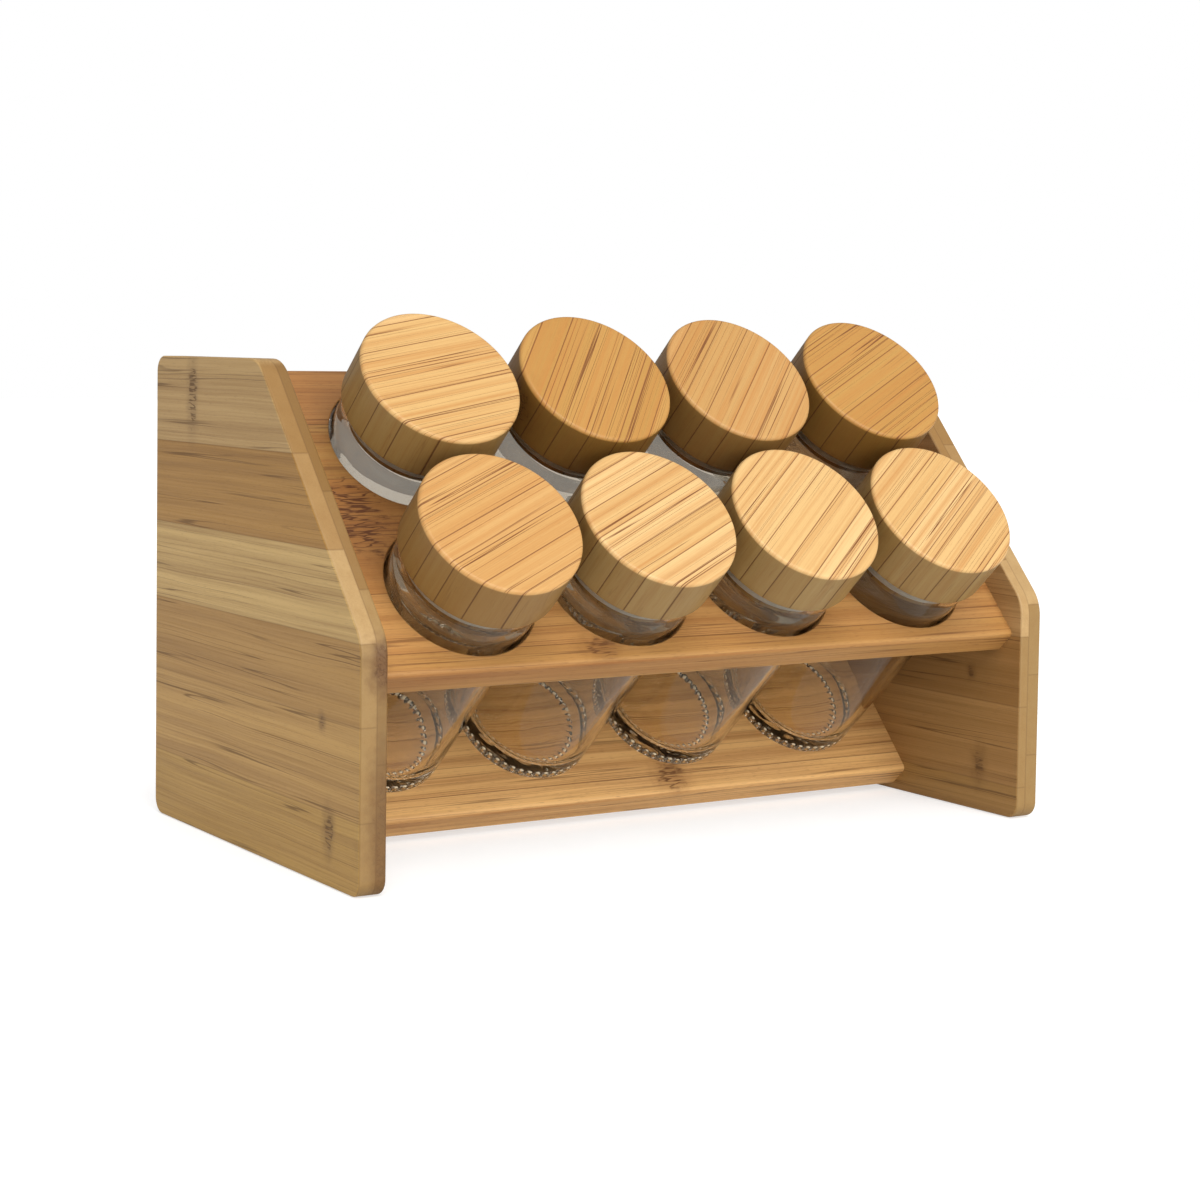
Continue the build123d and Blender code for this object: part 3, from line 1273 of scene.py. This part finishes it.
@dataclass
class Rack:
    """The bamboo panels and boards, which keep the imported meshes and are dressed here.

    Attributes:
        effects: The shared bamboo groups.
        board_width: Width of a board up the slope.
        board_thickness: Thickness of a board.
        board_round: Round of a board's long edges.
        panel_ply: Thickness of a panel's outer ply.
        stain_depth: Distance of the left panel's brown front patches from its outer face.
        slope: Slope of the boards in radians.
    """

    effects: BambooEffects
    board_width: float = 0.134
    board_thickness: float = 0.0108
    board_round: float = 0.0008
    panel_ply: float = 0.006
    stain_depth: float = 0.0092
    slope: float = math.radians(48.0)

    def front_arris(self, node: str) -> Triple:
        """Find a board's front top edge from its box.

        The box's highest z is the rear top edge and its highest y the rear bottom edge, each less
        what the round takes off.

        Args:
            node: The board's node.

        Returns:
            The middle of the edge.
        """
        _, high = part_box(node)
        sine, cosine = math.sin(self.slope), math.cos(self.slope)
        eased = self.board_round * (sine + cosine - 1)
        y = high[1] - self.board_width * cosine - self.board_thickness * sine + eased
        return (0.0, y, high[2] - self.board_width * sine + eased)

    def board(self, node: str, tints: tuple[Rgba, ...], *knuckles: Knuckle) -> Bamboo:
        """Make up a board's finish: fibres along the rack, strips up the slope.

        Args:
            node: The board's node.
            tints: Tint of each strip from the front up.
            *knuckles: The knuckle marks.

        Returns:
            The finish.
        """
        deep, line_colour = shades((142, 88, 42), (86, 46, 18))
        return Bamboo(
            name=f"{node}_bamboo",
            tints=tints,
            edges=(0.0085, 0.0335, 0.0585, 0.0835, 0.1085),
            deep=deep,
            line_colour=line_colour,
            placing=Placing(self.front_arris(node), (self.slope, 0.0, 0.0)),
            streaks=0.7,
            lines=0.55,
            pores=0.3,
            knuckles=knuckles,
        )

    def panel(self, end: End) -> Bamboo:
        """Make up a side panel's finish: two plies, fibres from front to back.

        Args:
            end: Which end of the rack.

        Returns:
            The finish.
        """
        low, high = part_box(f"side_panel_{end.value}")
        left = end is End.LEFT
        outer = low[0] if left else high[0]
        knuckles = [
            Knuckle((0.0625, 0.162, outer), (0.0045, 0.015, 0.02), 0.75, 0.3),
            Knuckle((-0.054, 0.0184, outer), (0.004, 0.008, 0.02), 0.7, 0.45),
            Knuckle((-0.0485, 0.0548, outer), (0.0025, 0.003, 0.02), 0.6, 0.5),
        ]
        if left:
            stained = outer + self.stain_depth
            knuckles += [
                Knuckle((-0.0772, 0.0767, stained), (0.007, 0.0085, 0.0058), 0.8, 1.0),
                Knuckle((-0.0772, 0.0210, stained), (0.007, 0.0280, 0.0058), 0.3, 0.7),
            ]
        strips = ((187, 147, 77), (193, 151, 85), (180, 138, 75))
        upper_strips = ((207, 172, 109), (176, 131, 64), (189, 154, 100))
        strip_ends = ((150, 121, 74), (150, 121, 74), (152, 123, 76))
        upper_ends = ((184, 153, 105), (164, 130, 82), (152, 117, 68))
        halo, deep, line_colour = shades((92, 62, 34), (132, 92, 42), (86, 56, 24))
        return Bamboo(
            name=f"panel_bamboo_{end.value}",
            tints=shades(*strips, *upper_strips),
            edge_tints=shades(*strip_ends, *upper_ends),
            # The right panel's inner face gets painted shade, as it stands in the shade of the
            # boards and jars.
            inner_painted_shade=(0.95, 0.94, 0.98, 1.0) if left else (0.84, 0.78, 0.9, 1.0),
            edge_shade=(0.74, 0.72, 0.66, 1.0) if left else (1.02, 1.0, 0.98, 1.0),
            halo_colour=halo,
            edges=(0.025, 0.0565, 0.084, 0.113, 0.144),
            deep=deep,
            line_colour=line_colour,
            placing=Placing(ZERO, (math.pi / 2, 0.0, math.pi / 2)),
            streaks=0.62,
            lines=0.6,
            pores=0.15,
            seam=0.3,
            seam_width=0.0005,
            ply=outer + (self.panel_ply if left else -self.panel_ply),
            ply_faces=end,
            knuckles=tuple(knuckles),
        )

    def dowels(self) -> Bamboo:
        """Make up the dowels' finish, plain wood with fibres along the rack.

        Returns:
            The finish.
        """
        pale, dark, deep, line_colour = shades(
            (214, 180, 134), (200, 164, 116), (160, 120, 76), (120, 82, 46)
        )
        placing = Placing(ZERO, ZERO)
        return Bamboo("dowel_wood", (pale, dark), deep, line_colour, placing, seam=0.0)

    def dress(self) -> None:
        """Give every packed board, panel and dowel its finish."""
        upper = ((177, 131, 73), (186, 137, 79), (176, 124, 67))
        upper += ((172, 120, 65), (166, 123, 67), (170, 120, 66))
        # The lower board's strips are lighter than the upper board's: partly its own paler tone,
        # partly painted light that makes up for the upper board's shadow on it.
        lower = ((222, 175, 112), (213, 166, 105), (220, 172, 111))
        lower += ((210, 162, 101), (216, 168, 108), (208, 160, 100))
        finishes = {f"side_panel_{end.value}": self.panel(end).make(self.effects) for end in End}
        finishes["upper_board"] = self.board(
            "upper_board",
            shades(*upper),
            Knuckle((-0.1245, 0.0675, 0.0), (0.0135, 0.021, 0.008), 0.95, 0.45),
            Knuckle((-0.05, 0.006, 0.0), (0.008, 0.0055, 0.006), 0.75, 0.5),
        ).make(self.effects)
        finishes["lower_board"] = self.board(
            "lower_board",
            shades(*lower),
            Knuckle((0.0245, 0.0075, 0.0), (0.0075, 0.0075, 0.006), 0.85, 0.4),
        ).make(self.effects)
        wood = self.dowels().make(self.effects)
        for end in End:
            finishes[f"dowels_upper_{end.value}"] = wood
            finishes[f"dowels_lower_{end.value}"] = wood
        for node, material in finishes.items():
            dress_node(node, material)


def dress_node(node: str, material: bpy.types.Material) -> None:
    """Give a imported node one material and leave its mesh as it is.

    Args:
        node: The node's name.
        material: Its material.
    """
    materials = FRAME["nodes"][node].data.materials
    materials.clear()
    materials.append(material)
    LOG.info("%s dressed in %s", node, material.name)


@dataclass
class Studio:
    """Pale floor, soft lights and the camera.

    Attributes:
        camera_place: Where the camera stands.
        camera_right: Direction of the picture's right.
        camera_forward: Direction it looks in.
        lens: Focal length in millimetres on a 36 mm sensor.
        shift: Vertical shift of the lens, as a share of the picture.
        floor_half: Half the floor's width.
        floor_drop: How far the floor lies under the rack, so that the two don't flicker.
        seen: Strength of the air's light to the eye.
        given: Strength of the light that it gives to surfaces.
        mirrored: Strength that gloss and glass show.
        key_towards: Direction from the rack to the key light.
        key_strength: Its strength in watts a square metre.
        key_spread: Its angular width in degrees.
        fill_place: Where the fill light hangs.
        fill_size: Its side.
        fill_power: Its power in watts.
        fill_tint: Its colour.
        aim: The middle of the rack, which the fill light faces.
    """

    camera_place: Triple = (-0.507503, -0.783921, 0.182817)
    camera_right: Triple = (0.84363354, -0.5367244, 0.0144696)
    camera_forward: Triple = (0.53662887, 0.84198433, -0.05560433)
    lens: float = 73.24
    shift: float = -0.1
    floor_half: float = 6.0
    floor_drop: float = 0.0002
    seen: float = 1.0
    given: float = 0.66
    mirrored: float = 0.3
    key_towards: Triple = (-0.12, -0.68, 0.74)
    key_strength: float = 1.95
    key_spread: float = 45.0
    fill_place: Triple = (0.1, -1.5, 0.3)
    fill_size: float = 0.8
    fill_power: float = 10.5
    fill_tint: Triple = (1.0, 0.97, 0.92)
    aim: Triple = (0.0, 0.0, 0.09)

    def camera(self) -> None:
        """Set up the camera as the scene's own."""
        data = bpy.data.cameras.new("studio_camera")
        data.lens = self.lens
        data.sensor_width = 36.0
        data.shift_y = self.shift
        data.clip_start = 0.01
        camera = link("studio_camera", data)
        right, forward = Vector(self.camera_right), Vector(self.camera_forward)
        turn = Matrix((right, right.cross(forward), -forward)).transposed().to_4x4()
        camera.matrix_world = Matrix.Translation(self.camera_place) @ turn
        bpy.context.scene.camera = camera

    def lights(self) -> None:
        """Set the wide, soft, distant key light and hang the square fill light."""
        data = bpy.data.lights.new("key", "SUN")
        data.energy = self.key_strength
        data.angle = math.radians(self.key_spread)
        turn = Vector(self.key_towards).to_track_quat("Z", "Y").to_euler()
        link("key", data).rotation_euler = turn
        data = bpy.data.lights.new("front_fill", "AREA")
        data.size = self.fill_size
        data.energy = self.fill_power
        data.color = self.fill_tint
        lamp = link("front_fill", data)
        towards = Vector(self.aim) - Vector(self.fill_place)
        lamp.rotation_euler = towards.to_track_quat("-Z", "Y").to_euler()
        lamp.location = self.fill_place

    def floor(self) -> None:
        """Lay the floor: a grid of four corners, wide enough to fill every view."""
        sides = np.array([[-1.0, -1.0], [1.0, -1.0], [1.0, 1.0], [-1.0, 1.0]]) * self.floor_half
        corners = np.concatenate([sides, np.full((4, 1), -self.floor_drop)], axis=1)
        mesh = bpy.data.meshes.new("floor")
        mesh.from_pydata(corners.tolist(), [], [(0, 1, 2, 3)])
        mesh.materials.append(Paper().make())
        link("floor", mesh)

    def surroundings(self) -> None:
        """Fill the air with soft white, brighter to the eye than the light it gives."""
        world = bpy.data.worlds.new("studio_air")
        bpy.context.scene.world = world
        world.use_nodes = True
        graph = Graph(world.node_tree)
        seen, bent = graph.rays()
        strength = graph.math("MULTIPLY_ADD", bent, self.mirrored - self.given, self.given)
        strength = graph.math("MULTIPLY_ADD", seen, self.seen - self.given, strength)
        graph.fill(world.node_tree.nodes["Background"], Color=WHITE, Strength=strength)

    def build(self) -> None:
        """Build the whole studio."""
        self.camera()
        self.floor()
        self.surroundings()
        self.lights()
        bpy.context.scene.view_settings.view_transform = "Standard"


class LidTone(Enum):
    """How dark the bamboo of a lid is, from its pale strips to its dark ones."""

    PALE = shades((215, 179, 123), (203, 163, 103))
    GOLD = shades((204, 162, 103), (194, 148, 87))
    AMBER = shades((192, 150, 93), (180, 137, 77))
    HONEY = shades((184, 140, 75), (172, 127, 61))

    def finish(self) -> Bamboo:
        """Make up the finish of turned lids: upright strips whose fibres show as lines on top.

        Returns:
            The finish.
        """
        deep, line_colour = shades((178, 118, 56), (118, 70, 30))
        return Bamboo(
            name=f"lid_bamboo_{self.name.lower()}",
            tints=self.value,
            deep=deep,
            line_colour=line_colour,
            streaks=0.7,
            lines=1.0,
            pores=0.15,
            strip_width=0.0102,
            seam=0.95,
            seam_width=0.00034,
            weave=(0.8, 1.7, 0.05),
            # Painted shade that darkens the lids' turned sides.
            flank_painted_shade=(0.5, 0.5, 0.42, 1.0),
            flank_height=0.0195,
            knuckles=(Knuckle((0.2895, 0.088, 0.009), (0.008, 0.008, 0.008), 0.8, 0.6),),
        )


LID_CUTS: dict[str, tuple[float, LidTone]] = {
    "back_1": (13.0, LidTone.PALE),
    "back_2": (54.0, LidTone.HONEY),
    "back_3": (48.0, LidTone.AMBER),
    "back_4": (29.0, LidTone.HONEY),
    "front_1": (26.0, LidTone.GOLD),
    "front_2": (26.0, LidTone.PALE),
    "front_3": (39.0, LidTone.PALE),
    "front_4": (37.0, LidTone.PALE),
}


def main() -> None:
    """Build the rack's looks in order and report each piece."""
    effects = BambooEffects()
    Studio().build()
    Rack(effects).dress()
    glass, pip_glints, rubber = Glass().make(), PIP_GLINTS.make(), SILICONE.make()
    lid_finishes = {tone: tone.finish().make(effects) for tone in LidTone}
    joints = {joint["name"]: joint for joint in FRAME["joints"]}
    for number, (seat, (turn, tone)) in enumerate(LID_CUTS.items()):
        axis = np.array(joints[f"jar_{seat}_lift"]["axis"], dtype=float)
        axis /= np.linalg.norm(axis)
        jar, stipple = Jar(f"jar_{seat}", seed=11 + number).build(axis, glass, pip_glints)
        shift = (0.31 * number, 0.0047 + 0.0613 * number, 0.0)
        lid = Lid(f"lid_{seat}", f"plug_{seat}", turn, shift).build(axis, lid_finishes[tone])
        dress_node(f"seal_{seat}", rubber)
        for piece in (jar, stipple, lid):
            LOG.info("%s has %d faces", piece.name, len(piece.data.polygons))


if __name__ == "__main__":
    logging.basicConfig(level=logging.INFO, format="%(message)s")
    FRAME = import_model()
    main()
